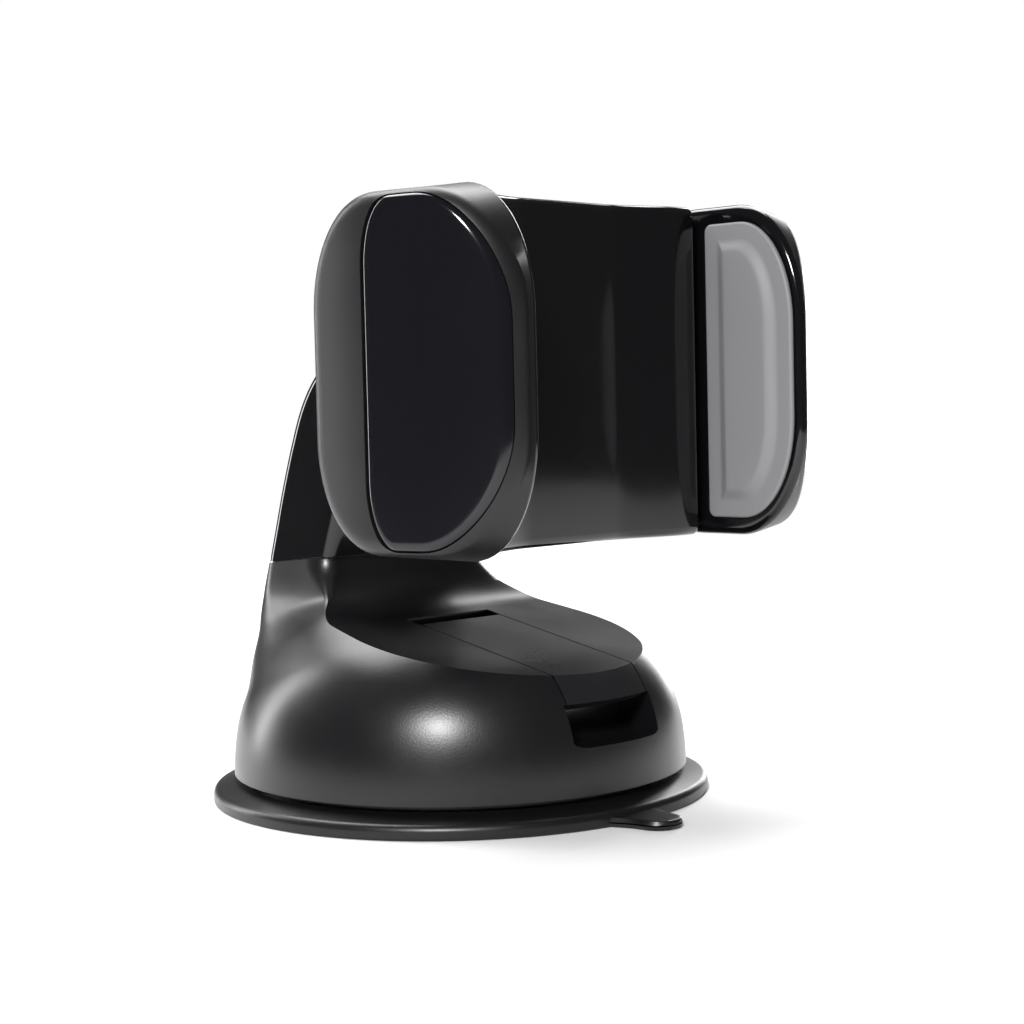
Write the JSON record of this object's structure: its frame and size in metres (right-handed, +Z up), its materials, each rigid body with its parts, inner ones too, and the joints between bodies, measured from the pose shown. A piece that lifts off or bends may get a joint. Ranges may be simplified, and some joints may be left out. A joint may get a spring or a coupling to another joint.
{
  "type": "car phone mount",
  "caption": "Dashboard phone mount: a suction base with a cam lever, a leaning arm on a ball joint, and a clamp head whose padded jaws open together.",
  "frame": {"origin": "centre of the suction face, in the plane that touches the dashboard", "axes": "+Z up away from the dashboard; -Y the front, where the lever, the tab and the phone are; +X towards the right jaw"},
  "size_m": [0.0756, 0.0819, 0.0863],
  "materials": {
    "flange_rubber": "satin black elastomer",
    "cup_gel": "tacky gel, slightly glossy",
    "satin_plastic": "satin black moulding",
    "gloss_plastic": "polished black moulding",
    "pad_silicone": "matt grey silicone",
    "nylon": "natural or black nylon",
    "steel": "zinc-plated or spring steel"
  },
  "bodies": {
    "base": {"suction_flange": "flange_rubber", "gel_membrane": "cup_gel", "base_plate": "satin_plastic", "base_screws": "steel", "dome_housing": "satin_plastic", "neck_cover": "satin_plastic", "release_spring": "steel", "arm_shell": "gloss_plastic", "arm_cover": "gloss_plastic", "arm_screws": "steel", "ball_stud": "nylon", "stud_screws": "steel"},
    "stud": {"pull_stud": "nylon", "stud_pin": "steel"},
    "lever": {"cam_lever": "satin_plastic"},
    "pan_cup": {"front_cup": "nylon"},
    "tilt_cup": {"rear_cup": "nylon"},
    "head": {"ball_socket": "nylon", "socket_screws": "steel", "head_shell": "satin_plastic", "head_face": "gloss_plastic", "head_screws": "steel", "chassis_plate": "steel", "chassis_screws": "steel", "pinion_post": "steel", "left_jaw_spring": "steel", "right_jaw_spring": "steel"},
    "collar": {"lock_collar": "satin_plastic"},
    "gear": {"pinion": "nylon"},
    "right_jaw": {"right_carrier": "satin_plastic", "right_jaw_shell": "satin_plastic", "right_jaw_panel": "gloss_plastic", "right_jaw_pad": "pad_silicone", "right_jaw_screws": "steel"},
    "left_jaw": {"left_carrier": "satin_plastic", "left_jaw_shell": "satin_plastic", "left_jaw_panel": "gloss_plastic", "left_jaw_pad": "pad_silicone", "left_jaw_screws": "steel"}
  },
  "joints": [
    {"name": "lever_hinge", "type": "hinge", "parent": "stud", "child": "lever", "pos_m": [0, -0.0035, 0.0183], "axis": [-1, 0, 0], "range_deg": [0, 45]},
    {"name": "stud_slide", "type": "slide", "parent": "base", "child": "stud", "axis": [0, 0, -1], "range_m": [0, 0.0025], "deforming": ["gel_membrane", "release_spring"]},
    {"name": "head_pan", "type": "hinge", "parent": "base", "child": "pan_cup", "pos_m": [0, -0.005, 0.062], "axis": [0, 0, 1], "range_deg": [-20, 20]},
    {"name": "head_tilt", "type": "hinge", "parent": "pan_cup", "child": "tilt_cup", "pos_m": [0, -0.005, 0.062], "axis": [-1, 0, 0], "range_deg": [-10, 20]},
    {"name": "head_spin", "type": "hinge", "parent": "tilt_cup", "child": "head", "pos_m": [0, -0.005, 0.062], "axis": [0, 1, 0], "range_deg": [-20, 20]},
    {"name": "collar_turn", "type": "hinge", "parent": "head", "child": "collar", "pos_m": [0, -0.005, 0.062], "axis": [0, 1, 0], "range_deg": [0, 60]},
    {"name": "jaw_slide", "type": "slide", "parent": "head", "child": "right_jaw", "axis": [1, 0, 0], "range_m": [0, 0.014], "stiffness_N_per_m": 150, "springref_m": -0.02, "deforming": ["right_jaw_spring"]},
    {"name": "left_jaw_slide", "type": "slide", "parent": "head", "child": "left_jaw", "axis": [-1, 0, 0], "range_m": [0, 0.014], "deforming": ["left_jaw_spring"]},
    {"name": "pinion_turn", "type": "hinge", "parent": "head", "child": "gear", "pos_m": [0, -0.02, 0.062], "axis": [0, -1, 0], "range_deg": [0, 134]}
  ],
  "couplings": [
    {"joint": "lever_hinge", "follows": "stud_slide", "rad_per_m": 314.15},
    {"joint": "left_jaw_slide", "follows": "jaw_slide", "ratio": 1},
    {"joint": "pinion_turn", "follows": "jaw_slide", "rad_per_m": 166.67}
  ]
}
